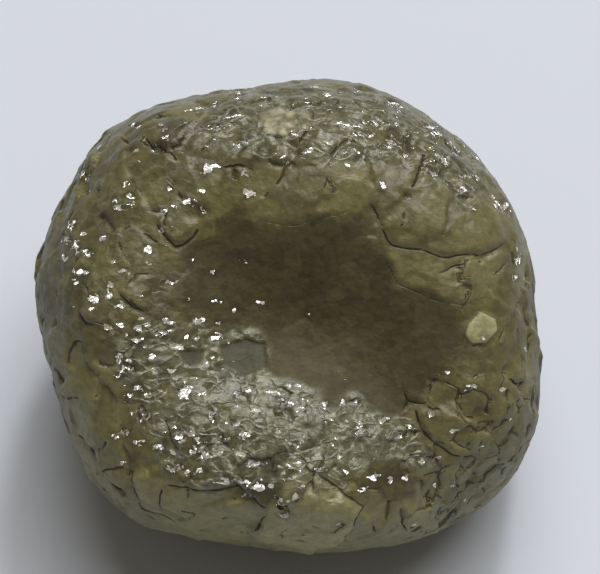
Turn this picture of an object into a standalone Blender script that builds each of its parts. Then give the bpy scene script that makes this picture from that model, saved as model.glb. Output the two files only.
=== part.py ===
"""Rough diamond: a rounded, cushion-shaped crystal, built as one solid.

Its upper face is dished. A crust of cracked plates covers it, with ledges and pits, and it
rests on one flat cleavage face. Units are metres, +Z is up, and the origin is under the
middle of the stone, on the surface that it stands on.

The stone is drawn in millimetres along the axis of its dish, which leans forward from the
vertical. Seen down that axis, u runs to the right, v runs up to the back rim and w comes
out of the dish.
"""

import math

import bmesh
import bpy
import numpy as np
from mathutils import Vector, noise

MM = 0.001
NODE = "rough_diamond"

# The outline seen down the dish axis: the reach at every 22.5 degrees, from +u towards +v.
GIRDLE = (
    4.95, 4.96, 4.84, 4.80, 4.62, 4.74, 5.14, 5.10,
    4.96, 4.82, 5.02, 4.68, 4.66, 4.90, 5.34, 5.36,
)
DISH_AXIS_LEAN = math.radians(30)
FRONT_HALF = 4.1
BACK_HALF = 4.15
SQUARENESS = 2.7
BASE_BELOW_MIDDLE = 4.02
BASE_SNAP = 0.02

# The dish is a trough: the middle of its valley line, which falls and bends to the right, how
# far its walls reach, where its depth starts to fade towards both ends and where it is gone,
# its depth, and the height over the girdle below which it fades out.
DISH_U, DISH_V = 0.4, -0.50
VALLEY_FALL, VALLEY_BEND = 0.24, 0.055
DISH_FAR, DISH_NEAR = 4.0, 3.1
DISH_FLAT, DISH_END = 1.7, 4.7
DISH_DEPTH = 1.45
DISH_LIP_POWER = 1.6
DISH_FADE = 2.0

# Broad unevenness of the whole stone.
LUMP_SIZE, LUMP_HEIGHT = 3.2, 0.13

# The crust: the width of a plate, its slope and its step at most, the gate that opens more
# cracks when low, and how whole the cracks are.
PLATES = (0.72, 0.30, 0.05, 0.04, 0.6)
BRICKS = (0.52, 0.36, 0.05, -0.45, 1.0)
CRACK_DEPTH, CRACK_WIDTH = 0.07, 0.07
CRACK_BREAKS = 2.6
CRUST_WARP = 0.35
SMOOTH_DISH_SHARE = 0.12
# The same seed gives the same plates each time the stone is built.
CRUST_SEED = 7

# Ledges of the dished side, each with its step, the reach of the raised side behind it, the
# depth of the crack under it and its points (u, v). A walk along the points has the raised
# side on its left.
LEDGES = {
    "upper terrace": (0.10, 1.4, 0.05, (
        (1.62, 1.86), (1.88, 1.42), (2.42, 1.32), (2.98, 1.18), (3.62, 1.24), (4.24, 1.50))),
    "lower terrace": (0.08, 0.9, 0.02, (
        (1.74, 1.26), (2.02, 0.68), (2.68, 0.38), (3.34, 0.28), (3.86, 0.52))),
    "far wall": (0.06, 1.1, 0.02, ((-0.78, 1.92), (0.18, 1.78), (0.90, 1.98), (1.22, 2.20))),
    "back crack": (0.04, 0.4, 0.10, ((-1.38, 2.84), (-1.00, 2.90), (-0.58, 2.82))),
    "left shoulder": (0.10, 0.8, 0.08, (
        (-2.06, 2.88), (-2.26, 3.16), (-2.62, 3.24), (-2.78, 3.56))),
    "left shoulder chip": (0.05, 0.4, 0.06, ((-2.98, 3.22), (-3.14, 3.40), (-3.38, 3.54))),
    "left pebble": (0.06, 0.4, 0.06, ((-3.80, 2.60), (-3.66, 2.44), (-3.46, 2.40))),
    "kite plate": (0.11, 0.8, 0.08, ((-2.62, 1.90), (-2.20, 1.38), (-1.82, 1.60), (-1.66, 1.80))),
    "left plate": (0.10, 0.7, 0.09, ((-4.06, 0.26), (-3.94, -0.02), (-3.60, -0.16))),
    "left wall": (0.10, 0.8, 0.09, (
        (-3.34, 0.58), (-3.18, 0.40), (-3.00, 0.24), (-2.70, 0.14))),
    "low left crack": (0.05, 0.5, 0.12, ((-3.84, -2.56), (-3.56, -2.44), (-3.38, -2.22))),
    "low left plate": (0.09, 0.6, 0.06, (
        (-3.02, -2.84), (-2.98, -3.30), (-2.86, -3.64), (-2.46, -3.78))),
    "low left split": (0.02, 0.3, 0.12, ((-2.42, -3.10), (-2.46, -3.42), (-2.52, -3.72))),
    "front split": (0.06, 0.8, 0.09, ((-0.38, -3.64), (-0.70, -4.04), (-0.82, -4.24))),
    "front wedge": (0.12, 1.2, 0.05, (
        (0.72, -4.50), (1.04, -4.24), (1.40, -3.60), (0.78, -3.12), (0.14, -2.68))),
    "first column": (0.04, 0.5, 0.10, ((1.54, -3.82), (1.66, -4.22))),
    "second column": (0.07, 0.5, 0.10, ((2.10, -3.48), (2.16, -3.94), (2.30, -4.24))),
    "third column": (0.06, 0.5, 0.10, ((2.72, -3.20), (2.66, -3.72))),
    "fourth column": (0.06, 0.5, 0.09, ((3.28, -3.48), (3.40, -3.88))),
    "oval plate": (0.11, 0.9, 0.07, (
        (2.40, -1.64), (2.46, -2.04), (2.72, -2.36), (3.06, -2.56), (3.64, -2.62))),
    "oval plate back": (0.09, 0.6, 0.08, ((3.70, -1.96), (3.34, -1.86), (3.12, -1.48))),
    "right brick": (0.04, 0.4, 0.09, ((3.78, -2.06), (4.12, -2.06))),
    "low right brick": (0.04, 0.4, 0.09, ((3.70, -2.46), (3.86, -2.40), (4.02, -2.18))),
    "right shelf": (0.10, 0.7, 0.08, ((4.06, -1.08), (4.34, -1.24), (4.66, -1.24))),
    "upper right split": (0.05, 0.5, 0.09, ((2.54, 3.26), (2.46, 2.76), (2.22, 2.38))),
    "upper right shelf": (0.07, 0.4, 0.06, ((2.50, 2.90), (2.98, 2.90))),
}
LEDGE_FADE = 0.22
LEDGE_EDGE = 0.05
LEDGE_GAP_WIDTH = 0.07
LEDGE_WANDER, LEDGE_WANDER_SIZE = 0.07, 0.45

# Pits of the dished side: u, v, width and depth.
PITS = (
    (-0.02, 4.08, 0.16, 0.10), (-0.26, 3.38, 0.12, 0.08), (-0.48, 3.22, 0.20, 0.12),
    (0.06, 3.20, 0.16, 0.10), (2.20, 2.34, 0.10, 0.08), (4.12, -1.00, 0.16, 0.10),
    (-1.80, 2.04, 0.22, 0.10), (3.66, -1.84, 0.20, 0.14), (-3.74, -2.50, 0.14, 0.10),
    (0.84, -2.86, 0.14, 0.10),
)

SPHERE_SUBDIVISIONS = 7
MOST_FACES = 8400

BODY_COLOUR = (0.13, 0.12, 0.07, 1.0)
BODY_ROUGHNESS = 0.22


def rise(values, low, high):
    """0 below low, 1 above high, and an even curve between."""
    t = np.clip((values - low) / (high - low), 0.0, 1.0)
    return t * t * (3.0 - 2.0 * t)


def dish_frame():
    """The u, v and w directions as the rows of a matrix."""
    lean = DISH_AXIS_LEAN
    return np.array((
        (1.0, 0.0, 0.0),
        (0.0, math.cos(lean), math.sin(lean)),
        (0.0, -math.sin(lean), math.cos(lean)),
    ))


def girdle_reach(around):
    """The outline's reach at each angle, on the smoothest waves through the girdle's values."""
    count = len(GIRDLE)
    waves = np.fft.rfft(GIRDLE) / count
    reach = np.full_like(around, waves[0].real)
    for k, wave in enumerate(waves[1:], start=1):
        share = 1.0 if 2 * k == count else 2.0
        reach += share * (wave * np.exp(1j * k * around)).real
    return reach


def cushion_reach(directions):
    """Distance from the stone's middle to the plain cushion, along each direction (u, v, w)."""
    u, v, w = directions.T
    beside = np.hypot(u, v) / girdle_reach(np.arctan2(v, u))
    along = np.abs(w) / np.where(w > 0.0, FRONT_HALF, BACK_HALF)
    return (beside**SQUARENESS + along**SQUARENESS) ** (-1.0 / SQUARENESS)


def dish_depth(points):
    """How far the dish cuts in, which is nothing outside its rim or behind the girdle."""
    u, v, w = points.T
    along = u - DISH_U
    across = v - DISH_V + VALLEY_FALL * along + VALLEY_BEND * along**2
    reach = np.where(across > 0.0, DISH_FAR, DISH_NEAR)
    profile = np.clip(1.0 - (across / reach) ** 2, 0.0, None) ** DISH_LIP_POWER
    fade = (1.0 - rise(np.abs(along), DISH_FLAT, DISH_END)) * rise(w, 0.0, DISH_FADE)
    return DISH_DEPTH * profile * fade


def noise_at(points, size):
    """Smooth noise from -1 to 1 whose lumps are about the given size."""
    return np.array([noise.noise(Vector(p)) for p in points / size])


def crust(points, width, slope, step, gate, wholeness):
    """Relief of cracked plates: each has its own lean and height, and open cracks part some."""
    relief = np.empty(len(points))
    for i, point in enumerate(points / width):
        place = Vector(point)
        place += CRUST_WARP * noise.noise_vector(place)
        _, (core, neighbour, *_) = noise.voronoi(place)
        across = (neighbour - core).normalized()
        to_border = ((core + neighbour) / 2.0 - place).dot(across) * width
        lean_way = noise.noise_vector(core * 5.3)
        relief[i] = slope * width * lean_way.dot(place - core) + step * lean_way.x
        if noise.noise((core + neighbour) * 2.9) > gate:
            here = min(1.0, max(0.0, wholeness + CRACK_BREAKS * noise.noise(place * 2.3)))
            relief[i] -= here * CRACK_DEPTH * max(0.0, 1.0 - to_border / CRACK_WIDTH)
    return relief


def nearest_on(line, u, v):
    """Signed distance to a line of points, plus to its left, and distance along from its nearer end."""
    ends = np.array(line)
    best = np.full(len(u), np.inf)
    signed = np.zeros(len(u))
    travelled = np.zeros(len(u))
    walked = 0.0
    for start, end in zip(ends[:-1], ends[1:]):
        length = np.hypot(*(end - start))
        du, dv = (end - start) / length
        ahead = np.clip((u - start[0]) * du + (v - start[1]) * dv, 0.0, length)
        off_u, off_v = u - start[0] - ahead * du, v - start[1] - ahead * dv
        away = np.hypot(off_u, off_v)
        closer = away < best
        best = np.where(closer, away, best)
        signed = np.where(closer, np.where(du * off_v - dv * off_u >= 0.0, away, -away), signed)
        travelled = np.where(closer, walked + ahead, travelled)
        walked += length
    return signed, np.minimum(travelled, walked - travelled)


def ledge_relief(u, v):
    """Steps and cracks of the named ledges."""
    relief = np.zeros(len(u))
    for step, reach, gap, line in LEDGES.values():
        signed, from_end = nearest_on(line, u, v)
        present = rise(from_end, 0.0, LEDGE_FADE)
        behind = rise(signed, 0.0, LEDGE_EDGE) * np.clip(1.0 - signed / reach, 0.0, 1.0)
        crack = np.clip(1.0 - np.abs(signed) / LEDGE_GAP_WIDTH, 0.0, 1.0)
        relief += present * (step * behind - gap * crack)
    return relief


def pit_relief(u, v):
    """Small round pits."""
    relief = np.zeros(len(u))
    for pit_u, pit_v, width, depth in PITS:
        relief -= depth * (1.0 - rise(np.hypot(u - pit_u, v - pit_v), 0.3 * width, width))
    return relief


def stone_points(directions):
    """Where the stone's surface lies along each direction, in dish coordinates."""
    noise.seed_set(CRUST_SEED)
    cushion = directions * cushion_reach(directions)[:, None]
    lumps = LUMP_HEIGHT * noise_at(cushion, LUMP_SIZE)
    formed = cushion + directions * (lumps - dish_depth(cushion))[:, None]

    u, v, w = formed.T
    front = rise(w, 0.0, 0.6)
    raised = rise(w, 0.3, 1.7)
    outer = 0.3 + 0.7 * rise(np.abs(w), 0.0, 1.5)
    wander = LEDGE_WANDER * noise_at(formed, LEDGE_WANDER_SIZE)
    in_dish = front * rise(dish_depth(cushion), 0.15, 0.7)
    bricks = rise(w, -0.8, 0.2) * rise(u, 1.9, 2.4) * rise(-v, 0.7, 1.3)
    plates_share = (1.0 - bricks) * (1.0 - (1.0 - SMOOTH_DISH_SHARE) * in_dish)
    relief = outer * (plates_share * crust(formed, *PLATES) + bricks * crust(formed, *BRICKS))
    relief += raised * ledge_relief(u + wander, v - wander) + front * pit_relief(u, v)
    return formed + directions * relief[:, None]


def fine_surface():
    """The whole surface, uncut, from a fine sphere of directions."""
    mesh = bmesh.new()
    bmesh.ops.create_icosphere(mesh, subdivisions=SPHERE_SUBDIVISIONS, radius=1.0)
    directions = np.array([vert.co.normalized() for vert in mesh.verts])
    places = stone_points(directions) @ dish_frame() * MM
    for vert, place in zip(mesh.verts, places):
        vert.co = place
    data = bpy.data.meshes.new("fine surface")
    mesh.to_mesh(data)
    mesh.free()
    return data


def thinned(data):
    """A mesh of MOST_FACES faces, with fewer where the surface is flat."""
    fine = bpy.data.objects.new("fine surface", data)
    bpy.context.scene.collection.objects.link(fine)
    thin_out = fine.modifiers.new("fewer faces", "DECIMATE")
    thin_out.ratio = MOST_FACES / len(data.polygons)
    mesh = bmesh.new()
    mesh.from_object(fine, bpy.context.evaluated_depsgraph_get())
    bpy.data.objects.remove(fine)
    return mesh


def joined_to_top(mesh):
    """The points that hang together with the stone's highest point."""
    top = max((vert for vert in mesh.verts if vert.link_faces), key=lambda vert: vert.co.z)
    found = {top}
    fresh = [top]
    while fresh:
        faces = fresh.pop().link_faces
        around = {vert for face in faces for vert in face.verts} - found
        found |= around
        fresh.extend(around)
    return found


def cut_base(mesh):
    """Cuts the stone flat at the height that it rests on, and closes the cut with one face."""
    height = -BASE_BELOW_MIDDLE * MM
    every = mesh.verts[:] + mesh.edges[:] + mesh.faces[:]
    cut = bmesh.ops.bisect_plane(
        mesh, geom=every, dist=BASE_SNAP * MM, plane_co=(0.0, 0.0, height),
        plane_no=(0.0, 0.0, 1.0), clear_inner=True,
    )
    rim = [e for e in cut["geom_cut"] if isinstance(e, bmesh.types.BMEdge)]
    for edge in rim:
        for vert in edge.verts:
            vert.co.z = height
    stone = joined_to_top(mesh)
    crumbs = [vert for vert in mesh.verts if vert not in stone]
    bmesh.ops.delete(mesh, geom=crumbs, context="VERTS")
    for vert in mesh.verts:
        vert.co.z = max(vert.co.z, height)
    bmesh.ops.holes_fill(mesh, edges=[edge for edge in rim if edge.is_valid])
    bmesh.ops.triangulate(mesh, faces=mesh.faces[:])


def to_origin(mesh):
    """Puts the middle of the stone's base box at the origin."""
    places = np.array([vert.co for vert in mesh.verts])
    low, high = places.min(axis=0), places.max(axis=0)
    middle = (low + high) / 2.0
    bmesh.ops.translate(mesh, verts=mesh.verts, vec=(-middle[0], -middle[1], -low[2]))


def diamond_material():
    """Grey-green diamond with its greasy lustre."""
    material = bpy.data.materials.new("grey_green_diamond")
    material.use_nodes = True
    shader = material.node_tree.nodes["Principled BSDF"]
    shader.inputs["Base Color"].default_value = BODY_COLOUR
    shader.inputs["Roughness"].default_value = BODY_ROUGHNESS
    shader.inputs["Metallic"].default_value = 0.0
    return material


def build():
    """Clears the scene and makes the stone."""
    for old in list(bpy.data.objects):
        bpy.data.objects.remove(old)
    mesh = thinned(fine_surface())
    cut_base(mesh)
    to_origin(mesh)
    bmesh.ops.recalc_face_normals(mesh, faces=mesh.faces[:])
    data = bpy.data.meshes.new(NODE)
    mesh.to_mesh(data)
    mesh.free()
    data.materials.append(diamond_material())
    stone = bpy.data.objects.new(NODE, data)
    bpy.context.scene.collection.objects.link(stone)


build()
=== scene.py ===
# %% [markdown]
# # A rough diamond
# This file dresses one natural stone: a rounded, cushion-shaped crystal of grey-green diamond,
# about 10 mm wide, with a dished upper face and a crust of cracked plates. The frame that is
# loaded first holds a plain solid of the stone at its real size. Each step below says what a
# part of the real stone is, how it could be made, and why it is made the way it is.

# %% Load the frame
import math

import bpy
import numpy as np
from mathutils import Matrix, Vector, noise


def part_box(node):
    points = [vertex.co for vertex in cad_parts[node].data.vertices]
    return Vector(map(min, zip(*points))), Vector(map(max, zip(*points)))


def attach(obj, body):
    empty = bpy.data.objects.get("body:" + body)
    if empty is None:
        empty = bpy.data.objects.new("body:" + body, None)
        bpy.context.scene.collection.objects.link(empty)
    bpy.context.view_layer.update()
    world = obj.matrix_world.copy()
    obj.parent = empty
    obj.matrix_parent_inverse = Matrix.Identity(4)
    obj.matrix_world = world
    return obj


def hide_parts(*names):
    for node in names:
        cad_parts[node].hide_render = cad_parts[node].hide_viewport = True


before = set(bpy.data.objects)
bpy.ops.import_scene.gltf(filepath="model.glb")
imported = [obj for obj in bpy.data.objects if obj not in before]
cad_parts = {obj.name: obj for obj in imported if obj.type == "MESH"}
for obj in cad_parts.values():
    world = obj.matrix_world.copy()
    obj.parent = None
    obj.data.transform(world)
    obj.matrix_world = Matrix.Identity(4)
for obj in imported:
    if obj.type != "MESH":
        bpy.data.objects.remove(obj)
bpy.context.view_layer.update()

MM = 0.001
STONE_NODE = "rough_diamond"

# %% [markdown]
# ## Three directions
# The stone is looked at down the axis of its dish, which leans 30 degrees from the vertical.
# It is easiest to place things in that view, so every place on the stone is given as u to the
# right, v up to the back rim and w out of the dish, all in millimetres from the stone's middle.

# %% The dish's own directions
DISH_AXIS_LEAN = math.radians(30)


def rise(values, low, high):
    """0 below low, 1 above high, and an even curve between."""
    t = np.clip((values - low) / (high - low), 0.0, 1.0)
    return t * t * (3.0 - 2.0 * t)


def dish_frame():
    """The u, v and w directions as the rows of a matrix."""
    lean = DISH_AXIS_LEAN
    return np.array((
        (1.0, 0.0, 0.0),
        (0.0, math.cos(lean), math.sin(lean)),
        (0.0, -math.sin(lean), math.cos(lean)),
    ))


print("the dish looks along", dish_frame()[2].round(3))

# %% [markdown]
# ## The cushion
# A crystal of this habit is a cube whose corners and edges have been dissolved away deep in the
# earth, so it ends up between a cube and a ball. A formula makes that shape well: a
# superellipse, whose power says how square it is, with an outline that is drawn by its reach at
# sixteen angles and joined up by smooth waves.

# %% The cushion's reach
# The outline seen down the dish axis: the reach at every 22.5 degrees, from +u towards +v.
GIRDLE = (
    4.95, 4.96, 4.84, 4.80, 4.62, 4.74, 5.14, 5.10,
    4.96, 4.82, 5.02, 4.68, 4.66, 4.90, 5.34, 5.36,
)
FRONT_HALF = 4.1
BACK_HALF = 4.15
SQUARENESS = 2.7
BASE_BELOW_MIDDLE = 4.02


def girdle_reach(around):
    """The outline's reach at each angle, on the smoothest waves through the girdle's values."""
    count = len(GIRDLE)
    waves = np.fft.rfft(GIRDLE) / count
    reach = np.full_like(around, waves[0].real)
    for k, wave in enumerate(waves[1:], start=1):
        share = 1.0 if 2 * k == count else 2.0
        reach += share * (wave * np.exp(1j * k * around)).real
    return reach


def cushion_reach(directions):
    """Distance from the stone's middle to the plain cushion, along each direction (u, v, w)."""
    u, v, w = directions.T
    beside = np.hypot(u, v) / girdle_reach(np.arctan2(v, u))
    along = np.abs(w) / np.where(w > 0.0, FRONT_HALF, BACK_HALF)
    return (beside**SQUARENESS + along**SQUARENESS) ** (-1.0 / SQUARENESS)


print("the cushion's reach along u, v and w, mm:", cushion_reach(np.eye(3)).round(2))

# %% [markdown]
# ## The dish
# One face of the crystal has been dissolved deeper than the rest, into a smooth hollow. It could
# be cut with a ball and a Boolean modifier, but the real hollow is a trough whose valley line
# falls and bends to the right. A formula for the depth follows that line, and it fades softly at
# both ends, where a Boolean would leave a hard edge.

# %% The dish's depth
DISH_U, DISH_V = 0.4, -0.50
VALLEY_FALL, VALLEY_BEND = 0.24, 0.055
DISH_FAR, DISH_NEAR = 4.0, 3.1
DISH_FLAT, DISH_END = 1.7, 4.7
DISH_DEPTH = 1.45
DISH_LIP_POWER = 1.6
DISH_FADE = 2.0


def dish_depth(points):
    """How far the dish cuts in, which is nothing outside its rim or behind the girdle."""
    u, v, w = points.T
    along = u - DISH_U
    across = v - DISH_V + VALLEY_FALL * along + VALLEY_BEND * along**2
    reach = np.where(across > 0.0, DISH_FAR, DISH_NEAR)
    profile = np.clip(1.0 - (across / reach) ** 2, 0.0, None) ** DISH_LIP_POWER
    fade = (1.0 - rise(np.abs(along), DISH_FLAT, DISH_END)) * rise(w, 0.0, DISH_FADE)
    return DISH_DEPTH * profile * fade


print("depth of the dish in its middle, mm:", dish_depth(np.array([(DISH_U, DISH_V, 3.0)])).round(2))

# %% [markdown]
# ## The crust of plates
# Growth and etching have left the skin in plates that lean a little, each its own way, and
# open cracks part some of them. Cells around scattered points (a Voronoi pattern) make such
# plates. The same rule gives each plate its lean and decides which borders are open.

# %% Plates and cracks
# Width of a plate, its slope and step at most, the gate that opens more cracks when low, and
# how whole the cracks are.
PLATES = (0.72, 0.30, 0.05, 0.04, 0.6)
BRICKS = (0.52, 0.36, 0.05, -0.45, 1.0)
CRACK_DEPTH, CRACK_WIDTH, CRACK_REACH = 0.045, 0.08, 0.20
CRACK_BREAKS = 2.6
CRUST_WARP = 0.35
SMOOTH_DISH_SHARE = 0.12
# The vector noise starts from the clock unless it has a seed, so this keeps each run the same.
CRUST_SEED = 7
noise.seed_set(CRUST_SEED)
# The lamp's direction in u, v and w. A crack's side away from it has the lit lip, which the material
# lightens as a painted highlight.
LAMP_SIDE = Vector((0.2, 0.9, 0.3))


def noise_at(points, size):
    """Smooth noise from -1 to 1 whose lumps are about the given size."""
    return np.array([noise.noise(Vector(p)) for p in points / size])


def crust(points, width, slope, step, gate, wholeness):
    """Relief of cracked plates, each plate's tone, and for each point its crack's side and nearness."""
    relief = np.empty(len(points))
    tones = np.empty(len(points))
    side = np.ones(len(points))
    near = np.zeros(len(points))
    for i, point in enumerate(points / width):
        place = Vector(point)
        place += CRUST_WARP * noise.noise_vector(place)
        _, (core, neighbour, *_) = noise.voronoi(place)
        across = (neighbour - core).normalized()
        to_border = ((core + neighbour) / 2.0 - place).dot(across) * width
        lean_way = noise.noise_vector(core * 5.3)
        relief[i] = slope * width * lean_way.dot(place - core) + step * lean_way.x
        tones[i] = lean_way.y
        if noise.noise((core + neighbour) * 2.9) > gate:
            here = min(1.0, max(0.0, wholeness + CRACK_BREAKS * noise.noise(place * 2.3)))
            away = min(1.0, to_border / CRACK_REACH)
            side[i] = away if across.dot(LAMP_SIDE) > 0.0 else -away
            near[i] = here * (1.0 - away)
    return relief, tones, side, near


def groove(near):
    """How deep in a crack a point is, from 0 to 1, from its nearness to the crack's line."""
    return np.clip(1.0 - (1.0 - near) * CRACK_REACH / CRACK_WIDTH, 0.0, 1.0)


print("a crack's depth from its line outwards:", groove(np.linspace(1.0, 0.6, 5)).round(2))

# %% [markdown]
# ## Ledges
# The large steps of the dish's walls are what one knows this stone by, so they can't be left to
# chance. They could be sculpted, but a line of a few points for each is easier to put right.
# All that a step needs is the distance from a place on the surface to its line, plus on the
# left and minus on the right: the surface steps up where the sign changes and sinks back
# further off. The same distance is kept on the mesh, so that the material can draw the crack
# under the ledge as a thin line, however far apart the mesh's points are.

# %% Ledges that are given one by one
# Each has its step, the reach of the raised side behind it, the depth of the crack under it and
# its points (u, v). A walk along the points has the raised side on its left.
LEDGES = {
    "upper terrace": (0.07, 1.4, 0.05, (
        (1.62, 1.86), (1.88, 1.42), (2.42, 1.32), (2.98, 1.18), (3.62, 1.24), (4.24, 1.50))),
    "lower terrace": (0.05, 0.9, 0.02, (
        (1.74, 1.26), (2.02, 0.68), (2.68, 0.38), (3.34, 0.28), (3.86, 0.52))),
    "far wall": (0.05, 1.1, 0.02, ((-0.78, 1.92), (0.18, 1.78), (0.90, 1.98), (1.22, 2.20))),
    "back crack": (0.04, 0.4, 0.10, ((-1.38, 2.84), (-1.00, 2.90), (-0.58, 2.82))),
    "left shoulder": (0.10, 0.8, 0.08, (
        (-2.06, 2.88), (-2.26, 3.16), (-2.62, 3.24), (-2.78, 3.56))),
    "left shoulder chip": (0.05, 0.4, 0.06, ((-2.98, 3.22), (-3.14, 3.40), (-3.38, 3.54))),
    "left pebble": (0.06, 0.4, 0.06, ((-3.80, 2.60), (-3.66, 2.44), (-3.46, 2.40))),
    "kite plate": (0.11, 0.8, 0.08, ((-2.62, 1.90), (-2.20, 1.38), (-1.82, 1.60), (-1.66, 1.80))),
    "left plate": (0.10, 0.7, 0.09, ((-4.06, 0.26), (-3.94, -0.02), (-3.60, -0.16))),
    "left wall": (0.10, 0.8, 0.09, (
        (-3.34, 0.58), (-3.18, 0.40), (-3.00, 0.24), (-2.70, 0.14))),
    "low left crack": (0.05, 0.5, 0.12, ((-3.84, -2.56), (-3.56, -2.44), (-3.38, -2.22))),
    "low left plate": (0.09, 0.6, 0.06, (
        (-3.02, -2.84), (-2.98, -3.30), (-2.86, -3.64), (-2.46, -3.78), (-2.0, -4.05), (-1.5, -4.16))),
    "low left edge": (0.07, 0.5, 0.08, (
        (-4.22, -2.10), (-3.90, -2.46), (-3.72, -2.90), (-3.36, -3.26), (-3.02, -3.34))),
    "low left block": (0.05, 0.4, 0.07, ((-3.76, -2.94), (-3.40, -2.86), (-3.02, -2.84))),
    "front plate": (0.05, 0.6, 0.06, ((-2.46, -3.10), (-1.70, -3.26), (-0.96, -3.22), (-0.38, -3.64))),
    "low left split": (0.02, 0.3, 0.12, ((-2.42, -3.10), (-2.46, -3.42), (-2.52, -3.72))),
    "front split": (0.06, 0.8, 0.09, ((-0.38, -3.64), (-0.70, -4.04), (-0.82, -4.24))),
    "front wedge": (0.10, 1.2, 0.05, (
        (0.72, -4.50), (1.04, -4.24), (1.40, -3.60), (0.78, -3.12), (0.14, -2.68))),
    "first column": (0.04, 0.5, 0.10, ((1.54, -3.82), (1.66, -4.22))),
    "second column": (0.07, 0.5, 0.10, ((2.10, -3.48), (2.16, -3.94), (2.30, -4.24))),
    "third column": (0.06, 0.5, 0.10, ((2.72, -3.20), (2.66, -3.72))),
    "fourth column": (0.06, 0.5, 0.09, ((3.28, -3.48), (3.40, -3.88))),
    "oval plate": (0.09, 0.9, 0.07, (
        (2.40, -1.64), (2.46, -2.04), (2.72, -2.36), (3.06, -2.56), (3.64, -2.62))),
    "oval plate back": (0.09, 0.6, 0.08, ((3.70, -1.96), (3.34, -1.86), (3.12, -1.48))),
    "right brick": (0.04, 0.4, 0.09, ((3.78, -2.06), (4.12, -2.06))),
    "low right brick": (0.04, 0.4, 0.09, ((3.70, -2.46), (3.86, -2.40), (4.02, -2.18))),
    "right shelf": (0.10, 0.7, 0.08, ((4.06, -1.08), (4.34, -1.24), (4.66, -1.24))),
    "upper right split": (0.05, 0.5, 0.09, ((2.54, 3.26), (2.46, 2.76), (2.22, 2.38))),
    "upper right shelf": (0.07, 0.4, 0.06, ((2.50, 2.90), (2.98, 2.90))),
}
LEDGE_FADE = 0.22
LEDGE_EDGE = 0.09
LEDGE_WANDER, LEDGE_WANDER_SIZE = 0.07, 0.45


def nearest_on(line, u, v):
    """Signed distance to a line of points, plus to its left, and distance along from its nearer end."""
    ends = np.array(line)
    best = np.full(len(u), np.inf)
    signed = np.zeros(len(u))
    travelled = np.zeros(len(u))
    walked = 0.0
    for start, end in zip(ends[:-1], ends[1:]):
        length = np.hypot(*(end - start))
        du, dv = (end - start) / length
        ahead = np.clip((u - start[0]) * du + (v - start[1]) * dv, 0.0, length)
        off_u, off_v = u - start[0] - ahead * du, v - start[1] - ahead * dv
        away = np.hypot(off_u, off_v)
        closer = away < best
        best = np.where(closer, away, best)
        signed = np.where(closer, np.where(du * off_v - dv * off_u >= 0.0, away, -away), signed)
        travelled = np.where(closer, walked + ahead, travelled)
        walked += length
    return signed, np.minimum(travelled, walked - travelled)


def ledge_relief(u, v):
    """Steps of the named ledges, and for each point its crack's side and nearness."""
    relief = np.zeros(len(u))
    side = np.ones(len(u))
    near = np.zeros(len(u))
    for step, reach, gap, line in LEDGES.values():
        signed, from_end = nearest_on(line, u, v)
        present = rise(from_end, 0.0, LEDGE_FADE)
        behind = rise(signed, 0.0, LEDGE_EDGE) * np.clip(1.0 - signed / reach, 0.0, 1.0)
        here = present * np.clip(1.0 - np.abs(signed) / CRACK_REACH, 0.0, 1.0)
        here *= 0.5 + 0.5 * min(1.0, gap / 0.08)
        relief += present * step * behind - 0.5 * gap * groove(here)
        side = np.where(here > near, np.clip(signed / CRACK_REACH, -1.0, 1.0), side)
        near = np.maximum(near, here)
    return relief, side, near


print("ledges:", len(LEDGES))

# %% [markdown]
# ## Pits
# Here and there a small round pit has been etched into the skin. A round dent with a soft edge
# needs only the distance from its middle, so no separate shape has to be cut out of the stone.

# %% Pits
# The place (u, v), width and depth of each.
PITS = (
    (-0.02, 4.08, 0.16, 0.10), (-0.26, 3.38, 0.12, 0.08), (-0.48, 3.22, 0.20, 0.12),
    (0.06, 3.20, 0.16, 0.10), (2.20, 2.34, 0.10, 0.08), (4.12, -1.00, 0.16, 0.10),
    (-1.80, 2.04, 0.22, 0.10), (3.66, -1.84, 0.20, 0.14), (-3.74, -2.50, 0.14, 0.10),
    (0.84, -2.86, 0.14, 0.10),
)


def pit_relief(u, v):
    """Small round pits."""
    relief = np.zeros(len(u))
    for pit_u, pit_v, width, depth in PITS:
        relief -= depth * (1.0 - rise(np.hypot(u - pit_u, v - pit_v), 0.3 * width, width))
    return relief


print("pits:", len(PITS))

# %% [markdown]
# ## Small broken facets
# Where the skin has been etched hard it is a mass of tiny facets, and each one that happens to
# face the light flashes. They are cells too, but flat ones with a tilt of their own. These are
# worked out with numpy for all points at once, because there are many.

# %% Scattered cells
def scatter(cells, salt):
    """An evenly spread value from 0 to 1 for each whole-number cell."""
    mixed = (cells * np.array((73856093, 19349663, 83492791))).astype(np.int64)
    h = (mixed[..., 0] ^ mixed[..., 1] ^ mixed[..., 2] ^ (salt * 40503)) & 0xFFFFFFFF
    h = ((h ^ (h >> 16)) * 0x45D9F3B) & 0xFFFFFFFF
    h = ((h ^ (h >> 16)) * 0x45D9F3B) & 0xFFFFFFFF
    return ((h ^ (h >> 16)) & 0xFFFF) / 0xFFFF


def scattered_cores(cells):
    """Where each cell's own point lies, in cells."""
    return cells + np.stack([scatter(cells, salt) for salt in (1, 2, 3)], axis=-1)


def nearest_cells(places):
    """The core that lies nearest to each place, and its cell."""
    home = np.floor(places).astype(np.int64)
    best = np.full(len(places), np.inf)
    cores = np.zeros((len(places), 3))
    cells = np.zeros((len(places), 3), dtype=np.int64)
    for shift in np.ndindex(3, 3, 3):
        cell = home + np.array(shift) - 1
        core = scattered_cores(cell)
        away = ((core - places) ** 2).sum(axis=1)
        nearer = away < best
        best = np.where(nearer, away, best)
        cores = np.where(nearer[:, None], core, cores)
        cells = np.where(nearer[:, None], cell, cells)
    return cores, cells


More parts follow.
